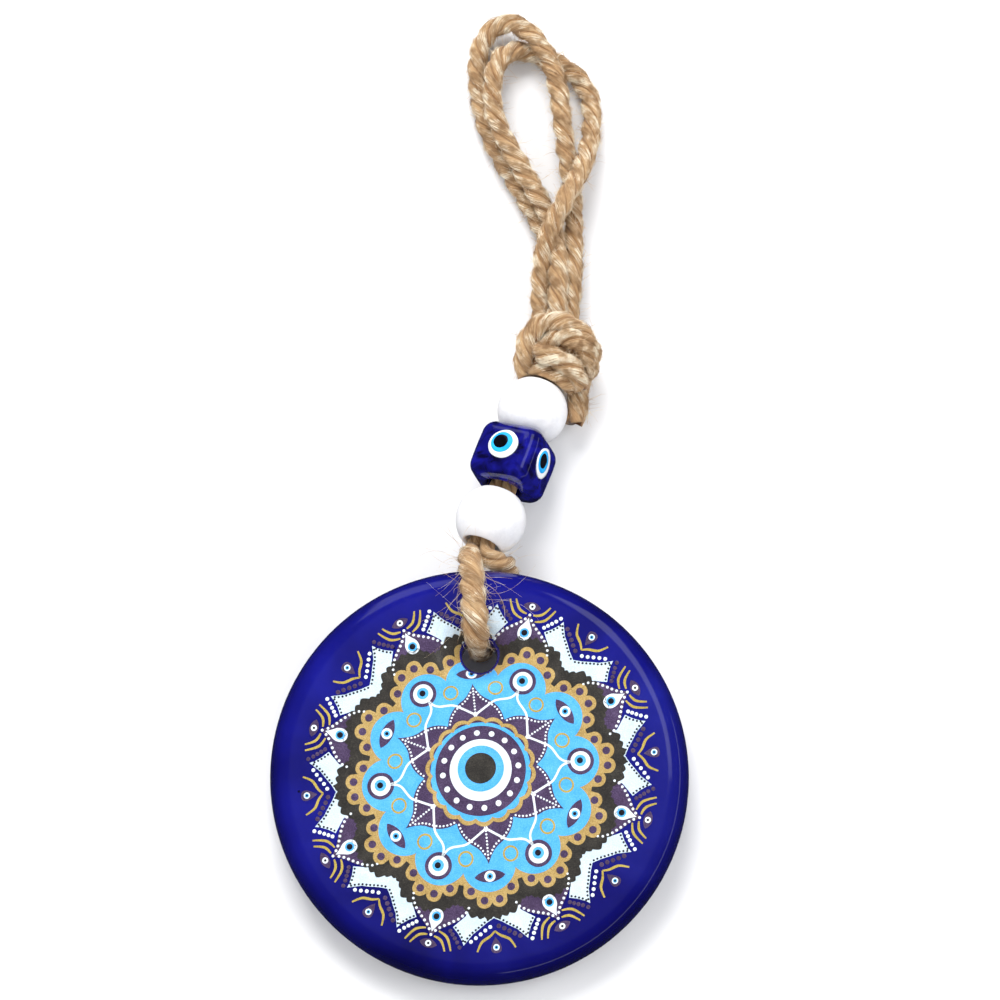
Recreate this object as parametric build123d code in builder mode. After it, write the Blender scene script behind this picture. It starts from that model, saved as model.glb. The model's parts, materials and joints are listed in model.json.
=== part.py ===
"""Evil eye ornament: a printed glass disc hung by a looped jute cord strung with three beads.

It lies on a table, face up.  The cord passes through the disc's hole, so one strand runs over
the disc's top edge and the other under it, and both go up through the beads into a knot.
Millimetres, +Z up, +Y from the disc towards the hanging loop.
"""
from build123d import *
import math
import os

# ---- glass disc ----
disc_r = 35.0
disc_t = 8.0
disc_edge = 3.2          # rounding of both rims
disc_y = -17.5           # centre of the disc's back face
disc_tilt = 4.3          # degrees: the strand underneath lifts the top edge
hole_r = 3.0
hole_up = 20.5           # hole centre to disc centre
hole_front_edge = 2.2
hole_back_edge = 1.2
table_gap = 0.02         # under the disc's lowest edge

# ---- printed eye on the disc's face: outer radius of each colour, and the ink's thickness ----
ink_t = 0.15
ink_hole_r = 5.6         # the ink stops short of the rounded edge of the hole
ink_rings = [("pupil", 2.5), ("light_ring", 3.9), ("white_ring", 5.2), ("plum_ring", 7.7), ("field", 31.0)]

# ---- beads on the cord ----
bore_r = 3.0
bead_r = 6.0
bead_lip = 0.4
cube_w = 11.0
cube_l = 9.4
cube_round = 2.8
cube_end_round = 2.0
cube_roll = -20.0        # degrees about the cord
eye_white_r = 2.6
eye_blue_r = 1.9
eye_pupil_r = 1.2
eye_step = 0.25          # each glass dot stands this far above the one under it
eye_sink = 0.4
eye_edge = 0.2           # rounding of each dot's edge
eye_cut = 1.0            # the eye pockets are cut from this far outside the bead

# ---- the straight line on which the beads are strung ----
chain_start = Vector(1.9, 26.9, 8.15)     # centre of the lower bead
chain_lean = 19.4        # degrees from +Y towards +X
chain_drop = 5.2         # degrees down from the disc to the knot
cube_at = 11.4           # distances along the line from the lower bead
upper_bead_at = 21.45
pair_from = -6.6         # the two strands run side by side between these two distances
pair_to = 27.3

# ---- cord ----
cord_d = 3.0
pair_r = 2.65            # the two strands, squeezed together inside the beads
knot_centre = (13.4, 57.4, 6.0)
knot_size = (14.4, 13.6, 10.8)
knot_round = 4.6
knot_end_round = 3.7
knot_gap = 0.35          # between the knot and the upper bead
tail_d = 3.8

disc_loop_route = [
    (-1.3, 21.2, 7.9), (-1.9, 19.8, 10.7), (-1.6, 17.6, 14.2), (-1.1, 11.8, 15.3),
    (-0.3, 2.7, 14.3), (0.1, 3.0, 1.8),
    (2.0, 9.4, 1.75), (3.6, 14.4, 1.8), (4.6, 18.0, 2.4), (4.8, 19.6, 4.6), (4.1, 19.3, 7.3), (2.4, 19.3, 9.2),
    (0.7, 20.5, 9.3),
]
outer_loop_route = [
    (15.3, 63.5, 4.2), (15.7, 68.4, 4.0), (16.0, 73.6, 3.9), (16.2, 79.0, 3.9), (16.1, 84.8, 4.0),
    (15.7, 90.2, 4.2), (14.9, 95.7, 4.6), (14.2, 101.3, 5.0), (13.6, 106.4, 5.3), (12.5, 110.9, 5.3),
    (10.6, 114.9, 5.0), (7.8, 118.4, 4.4), (4.5, 119.8, 3.8), (1.5, 118.3, 3.2), (-0.3, 115.0, 2.5),
    (-0.6, 110.4, 2.0), (0.0, 105.2, 1.75), (1.3, 100.0, 1.8), (3.6, 95.1, 1.75), (6.1, 90.7, 1.8),
    (8.6, 86.4, 1.75), (10.9, 81.8, 1.8), (12.5, 76.7, 1.75), (13.1, 71.1, 1.8), (13.2, 64.0, 2.0),
]
inner_loop_route = [
    (10.4, 63.5, 4.3), (10.3, 68.5, 4.2), (10.5, 73.4, 4.7), (11.3, 77.9, 6.2), (13.0, 82.0, 7.5),
    (15.2, 86.4, 7.7), (17.3, 90.7, 6.6), (18.8, 96.0, 4.5), (19.5, 101.4, 2.9), (19.2, 106.4, 2.0),
    (17.0, 110.3, 1.8), (13.9, 112.5, 1.75), (10.4, 114.2, 1.9), (7.1, 115.0, 2.6), (4.1, 114.0, 3.6),
    (2.4, 110.9, 4.6), (1.9, 106.2, 5.0), (2.5, 101.3, 5.1), (4.6, 96.5, 5.0), (7.1, 92.1, 4.9),
    (9.6, 87.7, 4.7), (11.9, 83.4, 4.3), (13.3, 78.6, 4.5), (13.5, 73.6, 5.4), (13.4, 68.3, 6.3),
    (13.1, 63.2, 6.5),
]
tail_route = [(18.2, 54.0, 4.6), (17.8, 49.3, 4.0), (17.0, 45.0, 3.4)]

# ---- derived planes ----
tilt = math.radians(disc_tilt)
disc_z = (disc_r - disc_edge) * math.sin(tilt) + disc_edge * (1 - math.cos(tilt)) + table_gap
disc_plane = Plane(origin=(0, disc_y, disc_z), x_dir=(1, 0, 0), z_dir=(0, -math.sin(tilt), math.cos(tilt)))
lean = math.radians(chain_lean)
drop = math.radians(chain_drop)
chain_dir = Vector(math.cos(drop) * math.sin(lean), math.cos(drop) * math.cos(lean), -math.sin(drop))
chain_side = Vector(math.cos(lean), -math.sin(lean), 0)


def chain_plane(distance):
    """The plane square to the string of beads, this far along it from the lower bead's centre."""
    return Plane(origin=chain_start + chain_dir * distance, x_dir=chain_side, z_dir=chain_dir)


def tube_radii(points):
    """The largest arc that fits at each corner of a cord's route."""
    radii = []
    for before, corner, after in zip(points, points[1:], points[2:]):
        run_in = Vector(*corner) - Vector(*before)
        run_out = Vector(*after) - Vector(*corner)
        shorter = min(run_in.length, run_out.length)
        half_turn = math.radians(run_in.get_angle(run_out)) / 2
        radii.append(0.45 * shorter / math.tan(half_turn))
    return radii


def report_tube(name, tube, path, diameter, radii):
    """Print a tube's arcs and compare its volume with its section times its length."""
    section = math.pi * diameter ** 2 / 4
    print(f"{name}: length {path.length:.1f}  arcs {min(radii):.1f} to {max(radii):.1f}"
          f"  volume / (section x length) {tube.volume / (section * path.length):.4f}")


os.makedirs("parts", exist_ok=True)

# ---- the disc: a thick round-edged lens of blue glass with one hole near its top edge ----
with BuildPart() as glass_disc:
    with BuildSketch(disc_plane):
        Circle(disc_r)
        with Locations((0, hole_up)):
            Circle(hole_r, mode=Mode.SUBTRACT)
    extrude(amount=disc_t)
    circles = glass_disc.edges().filter_by(GeomType.CIRCLE)
    fillet(circles.filter_by(lambda edge: edge.radius > hole_r + 1), radius=disc_edge)
    small = glass_disc.edges().filter_by(GeomType.CIRCLE).filter_by(lambda edge: abs(edge.radius - hole_r) < 0.01)
    fillet(small.sort_by(Axis.Z)[-1], radius=hole_front_edge)
    small = glass_disc.edges().filter_by(GeomType.CIRCLE).filter_by(lambda edge: abs(edge.radius - hole_r) < 0.01)
    fillet(small.sort_by(Axis.Z)[0], radius=hole_back_edge)
glass_disc.part.label = "glass_disc"
export_step(glass_disc.part, "parts/glass_disc.step")

# ---- the printed eye: thin rings of ink, one inside the other, on the disc's flat face ----
inner_r = 0.0
for ring_name, outer_r in ink_rings:
    with BuildPart() as ink_ring:
        with BuildSketch(disc_plane.offset(disc_t)):
            Circle(outer_r)
            if inner_r > 0:
                Circle(inner_r, mode=Mode.SUBTRACT)
            if outer_r > hole_up:
                with Locations((0, hole_up)):
                    Circle(ink_hole_r, mode=Mode.SUBTRACT)
        extrude(amount=ink_t)
    ink_ring.part.label = f"print_{ring_name}"
    export_step(ink_ring.part, f"parts/print_{ring_name}.step")
    inner_r = outer_r

# ---- two round white beads, bored along the cord ----
for bead_name, bead_at in [("bead_lower", 0.0), ("bead_upper", upper_bead_at)]:
    rim_s = math.sqrt(bead_r ** 2 - bore_r ** 2)
    with BuildPart() as bead:
        with BuildSketch(Plane(origin=chain_plane(bead_at).origin, x_dir=chain_side,
                               z_dir=chain_side.cross(chain_dir))):
            with BuildLine():
                ThreePointArc((bore_r, -rim_s), (bead_r, 0), (bore_r, rim_s))
                Line((bore_r, rim_s), (bore_r, -rim_s))
            make_face()
        revolve(axis=Axis(chain_plane(bead_at).origin, chain_dir))
        bore_rims = bead.edges().filter_by(GeomType.CIRCLE).filter_by(lambda edge: abs(edge.radius - bore_r) < 0.01)
        fillet(bore_rims, radius=bead_lip)
    bead.part.label = bead_name
    export_step(bead.part, f"parts/{bead_name}.step")

# ---- the square blue glass bead, with an eye of three glass dots on each of its four sides ----
cube_side = chain_side.rotate(Axis((0, 0, 0), chain_dir), cube_roll)
cube_plane = Plane(origin=chain_start + chain_dir * cube_at, x_dir=cube_side, z_dir=chain_dir)
side_planes = []
for side in range(4):
    outward = cube_side.rotate(Axis((0, 0, 0), chain_dir), 90 * side)
    side_planes.append(Plane(origin=cube_plane.origin, x_dir=cube_plane.z_dir, z_dir=outward))
with BuildPart() as cube_bead:
    with BuildSketch(cube_plane.offset(-cube_l / 2)):
        RectangleRounded(cube_w, cube_w, cube_round)
    extrude(amount=cube_l)
    ends = cube_bead.faces().filter_by(cube_plane)
    fillet(ends.edges(), radius=cube_end_round)
    with BuildSketch(cube_plane.offset(-cube_l / 2)):
        Circle(bore_r)
    extrude(amount=cube_l, mode=Mode.SUBTRACT)
    for side_plane in side_planes:
        with BuildSketch(side_plane.offset(cube_w / 2 - eye_sink)):
            Circle(eye_white_r)
        extrude(amount=eye_sink + eye_cut, mode=Mode.SUBTRACT)
cube_bead.part.label = "cube_bead"
export_step(cube_bead.part, "parts/cube_bead.step")

for side, side_plane in enumerate(side_planes):
    floor_at = cube_w / 2 - eye_sink
    top_at = cube_w / 2 + eye_step
    for colour, dot_r in [("white", eye_white_r), ("blue", eye_blue_r), ("pupil", eye_pupil_r)]:
        with BuildPart() as dot:
            with BuildSketch(side_plane.offset(floor_at)):
                Circle(dot_r)
            extrude(amount=top_at - floor_at)
            fillet(dot.faces().sort_by(Axis(side_plane.origin, side_plane.z_dir))[-1].edges(), radius=eye_edge)
        dot.part.label = f"cube_eye_{side + 1}_{colour}"
        export_step(dot.part, f"parts/cube_eye_{side + 1}_{colour}.step")
        floor_at = top_at
        top_at = floor_at + eye_step

# ---- the cord: both strands inside the beads, squeezed into one core ----
with BuildPart() as cord_bead_core:
    with BuildSketch(chain_plane(pair_from)):
        Circle(pair_r)
    extrude(amount=pair_to - pair_from)
cord_bead_core.part.label = "cord_bead_core"
export_step(cord_bead_core.part, "parts/cord_bead_core.step")

# ---- the cord: the free stretches, each a plain tube ----
for tube_name, route, diameter in [("cord_disc_loop", disc_loop_route, cord_d),
                                   ("cord_outer_loop", outer_loop_route, cord_d),
                                   ("cord_inner_loop", inner_loop_route, cord_d),
                                   ("cord_tail", tail_route, tail_d)]:
    arcs = tube_radii(route)
    with BuildPart() as tube:
        with BuildLine() as path:
            FilletPolyline(*route, radius=arcs)
        centreline = path.wires()[0]
        with BuildSketch(Plane(origin=centreline @ 0, z_dir=centreline % 0)):
            Circle(diameter / 2)
        sweep()
    report_tube(tube_name, tube.part, centreline, diameter, arcs)
    tube.part.label = tube_name
    export_step(tube.part, f"parts/{tube_name}.step")

# ---- the knot: the outer shape of the tied strands, hollowed where the upper bead sits in it ----
with BuildPart() as cord_knot:
    with BuildSketch(Plane.XY.offset(knot_centre[2] - knot_size[2] / 2)):
        with Locations(knot_centre[:2]):
            RectangleRounded(knot_size[0], knot_size[1], knot_round)
    extrude(amount=knot_size[2])
    flats = cord_knot.faces().filter_by(Axis.Z)
    fillet(flats.edges(), radius=knot_end_round)
    with Locations(chain_plane(upper_bead_at).origin):
        Sphere(bead_r + knot_gap, mode=Mode.SUBTRACT)
cord_knot.part.label = "cord_knot"
export_step(cord_knot.part, "parts/cord_knot.step")
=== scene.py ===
"""Evil eye ornament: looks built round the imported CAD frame.

Lengths in the builders are millimetres, turned into metres where a mesh is made.
"""
import json
import math
import random

import bpy
from mathutils import Matrix, Vector, noise


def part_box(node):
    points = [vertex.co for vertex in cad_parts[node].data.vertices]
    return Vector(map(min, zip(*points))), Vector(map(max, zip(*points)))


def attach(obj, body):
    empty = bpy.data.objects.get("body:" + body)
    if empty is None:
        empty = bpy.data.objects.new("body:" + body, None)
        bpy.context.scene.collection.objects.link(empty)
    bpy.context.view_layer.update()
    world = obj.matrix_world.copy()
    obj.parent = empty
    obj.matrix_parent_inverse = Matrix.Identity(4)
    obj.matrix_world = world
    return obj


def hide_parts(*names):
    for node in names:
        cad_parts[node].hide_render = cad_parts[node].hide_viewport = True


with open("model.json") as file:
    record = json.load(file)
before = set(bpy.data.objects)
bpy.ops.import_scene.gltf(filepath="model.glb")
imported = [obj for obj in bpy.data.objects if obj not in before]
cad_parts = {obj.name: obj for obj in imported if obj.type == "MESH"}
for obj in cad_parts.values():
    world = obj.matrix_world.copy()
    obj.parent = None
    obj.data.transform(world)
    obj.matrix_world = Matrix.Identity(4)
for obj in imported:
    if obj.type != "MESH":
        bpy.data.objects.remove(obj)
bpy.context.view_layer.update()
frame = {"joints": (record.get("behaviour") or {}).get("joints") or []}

MM = 0.001
TAU = 2 * math.pi

# ---------------------------------------------------------------- places taken from the frame
joints = {joint["name"]: joint for joint in frame["joints"]}
disc_low, disc_high = (Vector(corner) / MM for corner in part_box("glass_disc"))
hole_back = Vector(joints["disc_swing"]["pos_m"]) / MM
disc_normal = Vector(joints["disc_swing"]["axis"]).normalized()
disc_right = Vector((1, 0, 0))
disc_up = disc_normal.cross(disc_right)
DISC_R = (disc_high.x - disc_low.x) / 2
DISC_T = 8.0
HOLE_R = 3.0
HOLE_UP = 20.5           # from the disc's centre to its hole's
CROWN = 0.15             # the middle of the face stands this far above its edge
OVAL = 0.4               # each end of the hand-pressed disc stands out this far beyond the round
OVAL_FROM = 30.5         # from this radius outwards the disc is stretched,
OVAL_OVER = 3.5          # fully so this much farther out
RIM_ROUND = 3.9
RIM_POWER = 2.1
DIMPLE_R = 8.6
DIMPLE_DEPTH = 2.6
DIMPLE_POWER = 2.6
BEAD_R = 6.0
BORE_R = 3.0
disc_origin = hole_back - disc_up * HOLE_UP
chain_dir = Vector(joints["lower_bead_spin"]["axis"]).normalized()
chain_side = Vector((chain_dir.y, -chain_dir.x, 0)).normalized()
chain_top = chain_side.cross(chain_dir)
bead_centres = {name: Vector(joints[name + "_spin"]["pos_m"]) / MM
                for name in ("lower_bead", "square_bead", "upper_bead")}


# ---------------------------------------------------------------- small mesh helpers
def add_mesh(name, points, faces, material, smooth=True):
    """A mesh object from points in millimetres."""
    mesh = bpy.data.meshes.new(name)
    mesh.from_pydata([tuple(p * MM) for p in points], [], faces)
    mesh.validate()
    obj = bpy.data.objects.new(name, mesh)
    bpy.context.scene.collection.objects.link(obj)
    mesh.materials.append(material)
    if smooth:
        mesh.polygons.foreach_set("use_smooth", [True] * len(mesh.polygons))
    return obj


def ring_faces(rings, around, base=0, closed=False, flip=False):
    """The quads between rings that follow one another, and back to the first ring when closed."""
    faces = []
    for i in range(rings if closed else rings - 1):
        near, far = base + i * around, base + (i + 1) % rings * around
        for k in range(around):
            after = (k + 1) % around
            a, b, c, d = near + k, near + after, far + after, far + k
            faces.append((a, d, c, b) if flip else (a, b, c, d))
    return faces


# ---------------------------------------------------------------- materials
def new_material(name):
    """A material with one shader, its node tree, and the object's own coordinates."""
    material = bpy.data.materials.new(name)
    material.use_nodes = True
    tree = material.node_tree
    tree.nodes.clear()
    output = tree.nodes.new("ShaderNodeOutputMaterial")
    shader = tree.nodes.new("ShaderNodeBsdfPrincipled")
    tree.links.new(shader.outputs["BSDF"], output.inputs["Surface"])
    return material, tree, shader, add_node(tree, "ShaderNodeTexCoord").outputs["Object"]


def set_inputs(tree, node, inputs):
    """Link what comes from another node, and set plain values directly."""
    for key, value in inputs.items():
        if isinstance(value, bpy.types.NodeSocket):
            tree.links.new(value, node.inputs[key])
        else:
            node.inputs[key].default_value = value


def add_node(tree, kind, inputs=None, **settings):
    node = tree.nodes.new(kind)
    for key, value in settings.items():
        setattr(node, key, value)
    set_inputs(tree, node, inputs or {})
    return node


def noise_tone(tree, place, scale, detail, **more):
    inputs = {"Vector": place, "Scale": scale, "Detail": detail, **more}
    return add_node(tree, "ShaderNodeTexNoise", inputs).outputs["Fac"]


def bumped(tree, height, strength, distance):
    inputs = {"Height": height, "Strength": strength, "Distance": distance}
    return add_node(tree, "ShaderNodeBump", inputs).outputs["Normal"]


def spread(tree, value, low, high):
    """A grey from 0 to 1 turned into a value from low to high."""
    inputs = {"Value": value, "To Min": low, "To Max": high}
    return add_node(tree, "ShaderNodeMapRange", inputs).outputs["Result"]


def share_between(tree, value, start, end):
    """How far a value has come from start to end, from 0 to 1."""
    inputs = {"Value": value, "From Min": start, "From Max": end}
    return add_node(tree, "ShaderNodeMapRange", inputs).outputs["Result"]


def multiplied(tree, colour, by):
    return add_node(tree, "ShaderNodeMix", {0: 1.0, 6: colour, 7: by}, data_type="RGBA",
                    blend_type="MULTIPLY").outputs[2]


def weighted(tree, tone, weight, other, other_weight):
    """The sum of two greys, each with its weight."""
    part = add_node(tree, "ShaderNodeMath", {0: other, 1: other_weight}, operation="MULTIPLY").outputs[0]
    return add_node(tree, "ShaderNodeMath", {0: tone, 1: weight, 2: part},
                    operation="MULTIPLY_ADD").outputs[0]


def ramp(tree, factor, stops):
    node = add_node(tree, "ShaderNodeValToRGB", {"Fac": factor})
    elements = node.color_ramp.elements
    while len(elements) < len(stops):
        elements.new(0.5)
    for element, (at, colour) in zip(elements, stops):
        element.position = at
        element.color = (*colour, 1)
    return node.outputs["Color"]


def hex_colour(code):
    """Linear RGB of an sRGB hex code."""
    values = [int(code[i:i + 2], 16) / 255 for i in (0, 2, 4)]
    return tuple(v / 12.92 if v <= 0.04045 else ((v + 0.055) / 1.055) ** 2.4 for v in values)


def hex_ramp(tree, factor, *stops):
    return ramp(tree, factor, [(at, hex_colour(code)) for at, code in stops])


def ink_material(name, code, dark_code, light_code):
    """Printed ink: the fine grain of the print's dots over a slow drift in tone."""
    material, tree, shader, place = new_material(name)
    grain = noise_tone(tree, place, 5200.0, 2.0, Roughness=0.7)
    both = weighted(tree, noise_tone(tree, place, 420.0, 3.0), 0.28, grain, 0.72)
    set_inputs(tree, shader, {
        "Base Color": hex_ramp(tree, both, (0.36, dark_code), (0.5, code), (0.66, light_code)),
        "Normal": bumped(tree, grain, 0.12, 0.00004),
        "Roughness": 0.3, "Coat Weight": 0.35, "Coat Roughness": 0.08})
    return material


def disc_glass_material():
    """Deep cobalt glass in slow clouds with small specks, with painted shade darkening it towards its lower
    right and its rim.
    """
    material, tree, shader, place = new_material("cobalt_glass")
    cloud = noise_tone(tree, place, 45.0, 3.0, Distortion=0.6)
    colour = hex_ramp(tree, cloud, (0.3, "0F0F62"), (0.55, "191B86"), (0.8, "2C34A6"))
    # Painted shade: the colour is darkened towards the lower right, away from the key light at the upper
    # left.
    split = add_node(tree, "ShaderNodeSeparateXYZ", {"Vector": place}).outputs
    slant = add_node(tree, "ShaderNodeMath", {0: split["Y"], 1: split["X"]}, operation="SUBTRACT").outputs[0]
    lower_right_shade = ramp(tree, share_between(tree, slant, -0.06, 0.03), [(0.0, (0.42, 0.36, 0.5)), (1.0, (1, 1, 1))])
    # Painted shade: the colour darkens over the rounded rim, from 30 mm out to the edge.
    away = add_node(tree, "ShaderNodeVectorMath", {0: place, 1: disc_origin * MM},
                    operation="DISTANCE").outputs["Value"]
    edge = ramp(tree, share_between(tree, away, 0.030, 0.0356),
                [(0.0, (1, 1, 1)), (0.45, (1, 1, 1)), (0.75, (0.75, 0.72, 0.85)), (1.0, (0.3, 0.25, 0.4))])
    specks = add_node(tree, "ShaderNodeTexVoronoi", {"Vector": place, "Scale": 190.0, "Randomness": 1.0})
    speck = ramp(tree, specks.outputs["Distance"], [(0.035, (0.03, 0.03, 0.1)), (0.055, (1, 1, 1))])
    for shade in (lower_right_shade, edge, speck):
        colour = multiplied(tree, colour, shade)
    wave = noise_tone(tree, place, 120.0, 2.0)
    set_inputs(tree, shader, {
        "Base Color": colour, "Normal": bumped(tree, wave, 0.12, 0.0006),
        "Roughness": spread(tree, wave, 0.05, 0.13), "IOR": 1.5, "Subsurface Weight": 0.25,
        "Subsurface Radius": (0.1, 0.2, 1.0), "Subsurface Scale": 0.004,
        "Coat Weight": 0.3, "Coat Roughness": 0.03})
    return material


def bead_glass_material(name, code, dark_code, roughness):
    """Opaque pressed glass with slow swirls."""
    material, tree, shader, place = new_material(name)
    swirl = noise_tone(tree, place, 260.0, 3.0, Distortion=1.2)
    set_inputs(tree, shader, {
        "Base Color": hex_ramp(tree, swirl, (0.35, dark_code), (0.65, code)),
        "Normal": bumped(tree, swirl, 0.15, 0.0003),
        "Roughness": roughness, "Coat Weight": 0.4, "Coat Roughness": 0.03})
    return material


def white_bead_material():
    """Satin white acrylic with faint scuffs and a soft grain."""
    material, tree, shader, place = new_material("white_bead")
    scuff = noise_tone(tree, place, 600.0, 5.0, Roughness=0.7)
    set_inputs(tree, shader, {
        "Base Color": hex_ramp(tree, scuff, (0.25, "D8D8DB"), (0.6, "E6E6E8")),
        "Roughness": spread(tree, scuff, 0.3, 0.48), "Normal": bumped(tree, scuff, 0.06, 0.0001),
        "Subsurface Weight": 0.3, "Subsurface Radius": (1.0, 0.9, 0.8), "Subsurface Scale": 0.002})
    return material


def jute_material():
    """Jute yarn: long fibres of mixed tan along the ply, with painted shade between the plies."""
    material, tree, shader, _ = new_material("jute")
    uv = add_node(tree, "ShaderNodeUVMap", uv_map="Fibre").outputs["UV"]

    def streaks(stretch, *settings, **more):
        long_way = add_node(tree, "ShaderNodeMapping", {"Vector": uv, "Scale": stretch}).outputs["Vector"]
        return noise_tone(tree, long_way, *settings, **more)

    fine = streaks((26.0, 0.8, 1.0), 1.6, 6.0, Roughness=0.72, Distortion=0.25)
    both = weighted(tree, fine, 0.65, streaks((3.0, 0.22, 1.0), 1.3, 3.0), 0.35)
    colour = hex_ramp(tree, both, (0.33, "7A5A3C"), (0.44, "A17E5A"), (0.54, "BA9972"), (0.64, "D3B892"),
                      (0.74, "E8D6B8"))
    # Painted shade: points that lie low between the plies get a darker colour, read from their crest value.
    crest = add_node(tree, "ShaderNodeAttribute", attribute_name="crest").outputs["Fac"]
    painted_groove_shade = ramp(tree, crest, [(0.38, (0.16, 0.1, 0.06)), (0.62, (0.66, 0.58, 0.5)), (0.88, (1, 1, 1))])
    set_inputs(tree, shader, {
        "Base Color": multiplied(tree, colour, painted_groove_shade), "Normal": bumped(tree, fine, 0.9, 0.00022),
        "Roughness": 0.9, "Specular IOR Level": 0.2, "Sheen Weight": 0.25, "Sheen Roughness": 0.4})
    return material


def fibre_material():
    """Loose jute fibres, pale and slightly glossy, each a little different."""
    material, tree, shader, place = new_material("jute_fibre")
    tone = noise_tone(tree, place, 500.0, 2.0)
    set_inputs(tree, shader, {
        "Base Color": hex_ramp(tree, tone, (0.36, "A5835F"), (0.48, "D0B38E"), (0.62, "F4E8D0")),
        "Roughness": 0.5})
    return material


def floor_material():
    """Matt white table top with a faint grain."""
    material, tree, shader, place = new_material("table_white")
    tone = noise_tone(tree, place, 90.0, 4.0)
    set_inputs(tree, shader, {
        "Base Color": ramp(tree, tone, [(0.3, (0.79, 0.79, 0.8)), (0.7, (0.82, 0.82, 0.83))]),
        "Roughness": 0.6})
    return material


COBALT = disc_glass_material()
INK = {
    "blue": ink_material("ink_light_blue", "4CA6E4", "3D96D4", "68B8EE"),
    "gold": ink_material("ink_gold", "AC9056", "8F7444", "C2A974"),
    "plum": ink_material("ink_plum", "453653", "32253F", "5E4E6E"),
    "white": ink_material("ink_white", "C4D5E0", "B4C8D6", "D6E4EC"),
    "dark": ink_material("ink_charcoal", "2F2D2A", "201E1C", "48443E"),
    "cream": ink_material("ink_white_dots", "DCE4EA", "CCD8E0", "ECF1F5"),
    "dot": ink_material("ink_black_dots", "15121A", "0B0910", "2A2630"),
    "line": ink_material("ink_gold_lines", "AC9746", "917E36", "C2AC5C"),
}
WHITE_BEAD = white_bead_material()
CUBE_GLASS = bead_glass_material("cube_glass", "15157E", "05042E", 0.07)
DOT_WHITE = bead_glass_material("dot_white_glass", "F4F6F8", "E4E9EE", 0.12)
DOT_BLUE = bead_glass_material("dot_blue_glass", "2FB4F4", "1C9CE8", 0.1)
DOT_DARK = bead_glass_material("dot_black_glass", "0A0A14", "050508", 0.08)
JUTE = jute_material()
FIBRE = fibre_material()

# ---------------------------------------------------------------- stage: floor, lights, camera
VIEW_CENTRE = Vector((3.44, 31.0, 6.6))
VIEW_WIDTH = 170.2
VIEW_DISTANCE = 1100.0
VIEW_ELEVATION = math.radians(72)


def aim(obj, place, target):
    obj.location = place * MM
    obj.rotation_euler = (target - place).to_track_quat("-Z", "Y").to_euler()


def area_light(name, place, size, power, colour=(1, 1, 1)):
    """A softbox that lights the object and doesn't show in its shine."""
    data = bpy.data.lights.new(name, "AREA")
    data.energy = power
    data.color = colour
    data.shape = "RECTANGLE"
    data.size = size * MM
    data.size_y = size * MM
    obj = bpy.data.objects.new(name, data)
    bpy.context.scene.collection.objects.link(obj)
    obj.visible_glossy = False
    aim(obj, Vector(place), VIEW_CENTRE)


WORLD_LIGHT = 0.62
WINDOWS = (
    (2.4, {"x": (0.1, 2.0), "y": (-2.0, 0.45), "z": (0.27, 0.36)}),
    (1.3, {"x": (0.18, 0.5), "y": (0.1, 0.75), "z": (0.5, 2.0)}),
    (0.8, {"x": (-0.45, -0.05), "y": (0.62, 0.95), "z": (0.1, 2.0)}),
    (0.12, {"z": (0.9, 2.0)}),
)


def glow(tree, axes, strength, **limits):
    """A soft-edged bright patch of the sky between limits on its x, y and z."""
    patch = strength
    for axis, (start, end) in limits.items():
        for edge, inside in ((start, 0.05), (end, -0.05)):
            rise = share_between(tree, axes[axis], edge, edge + inside)
            patch = add_node(tree, "ShaderNodeMath", {0: rise, 1: patch}, operation="MULTIPLY").outputs[0]
    return patch


def studio_world():
    """Even light for the object; what shines back from it is a dark room with a few soft windows."""
    world = bpy.data.worlds.new("studio")
    world.use_nodes = True
    tree = world.node_tree
    sky = add_node(tree, "ShaderNodeTexCoord").outputs["Generated"]
    split = add_node(tree, "ShaderNodeSeparateXYZ", {"Vector": sky}).outputs
    axes = {"x": split["X"], "y": split["Y"], "z": split["Z"]}
    shine = 0.035
    for strength, limits in WINDOWS:
        shine = add_node(tree, "ShaderNodeMath", {0: glow(tree, axes, strength, **limits), 1: shine},
                         operation="ADD").outputs[0]
    glossy = add_node(tree, "ShaderNodeLightPath").outputs["Is Glossy Ray"]
    background = tree.nodes["Background"]
    background.inputs["Color"].default_value = (0.93, 0.94, 0.97, 1.0)
    tree.links.new(spread(tree, glossy, WORLD_LIGHT, shine), background.inputs["Strength"])
    return world


def build_stage():
    half = 1500.0
    corners = [Vector((x, y, -0.02)) for x, y in ((-half, -half), (half, -half), (half, half), (-half, half))]
    floor = add_mesh("floor", corners, [(0, 1, 2, 3)], floor_material(), smooth=False)
    floor.visible_glossy = False
    camera_data = bpy.data.cameras.new("camera")
    camera_data.sensor_width = 36.0
    camera_data.lens = 36.0 * VIEW_DISTANCE / VIEW_WIDTH
    camera_data.clip_end = 20.0
    camera = bpy.data.objects.new("camera", camera_data)
    bpy.context.scene.collection.objects.link(camera)
    back = Vector((0, -math.cos(VIEW_ELEVATION), math.sin(VIEW_ELEVATION)))
    aim(camera, VIEW_CENTRE + back * VIEW_DISTANCE, VIEW_CENTRE)
    bpy.context.scene.camera = camera
    area_light("key_back", (-150, 620, 660), 480, 8.6, (1.0, 0.995, 0.985))
    area_light("fill_left", (-620, -40, 520), 520, 1.4)
    area_light("fill_right", (640, 40, 520), 520, 3.0, (0.97, 0.98, 1.0))
    area_light("fill_front", (40, -640, 560), 520, 2.3)
    bpy.context.scene.world = studio_world()
    bpy.context.scene.view_settings.view_transform = "Standard"


build_stage()

# ---------------------------------------------------------------- cord routes, in millimetres
# The two hanging loops and the tail have the CAD's own points; the loop through the disc has its own
# points beside the hole, where it lies higher and nearer the hole's upper wall than the CAD tube.
CORD_D = 3.3
PAIR_SQUEEZE = 0.78

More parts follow.
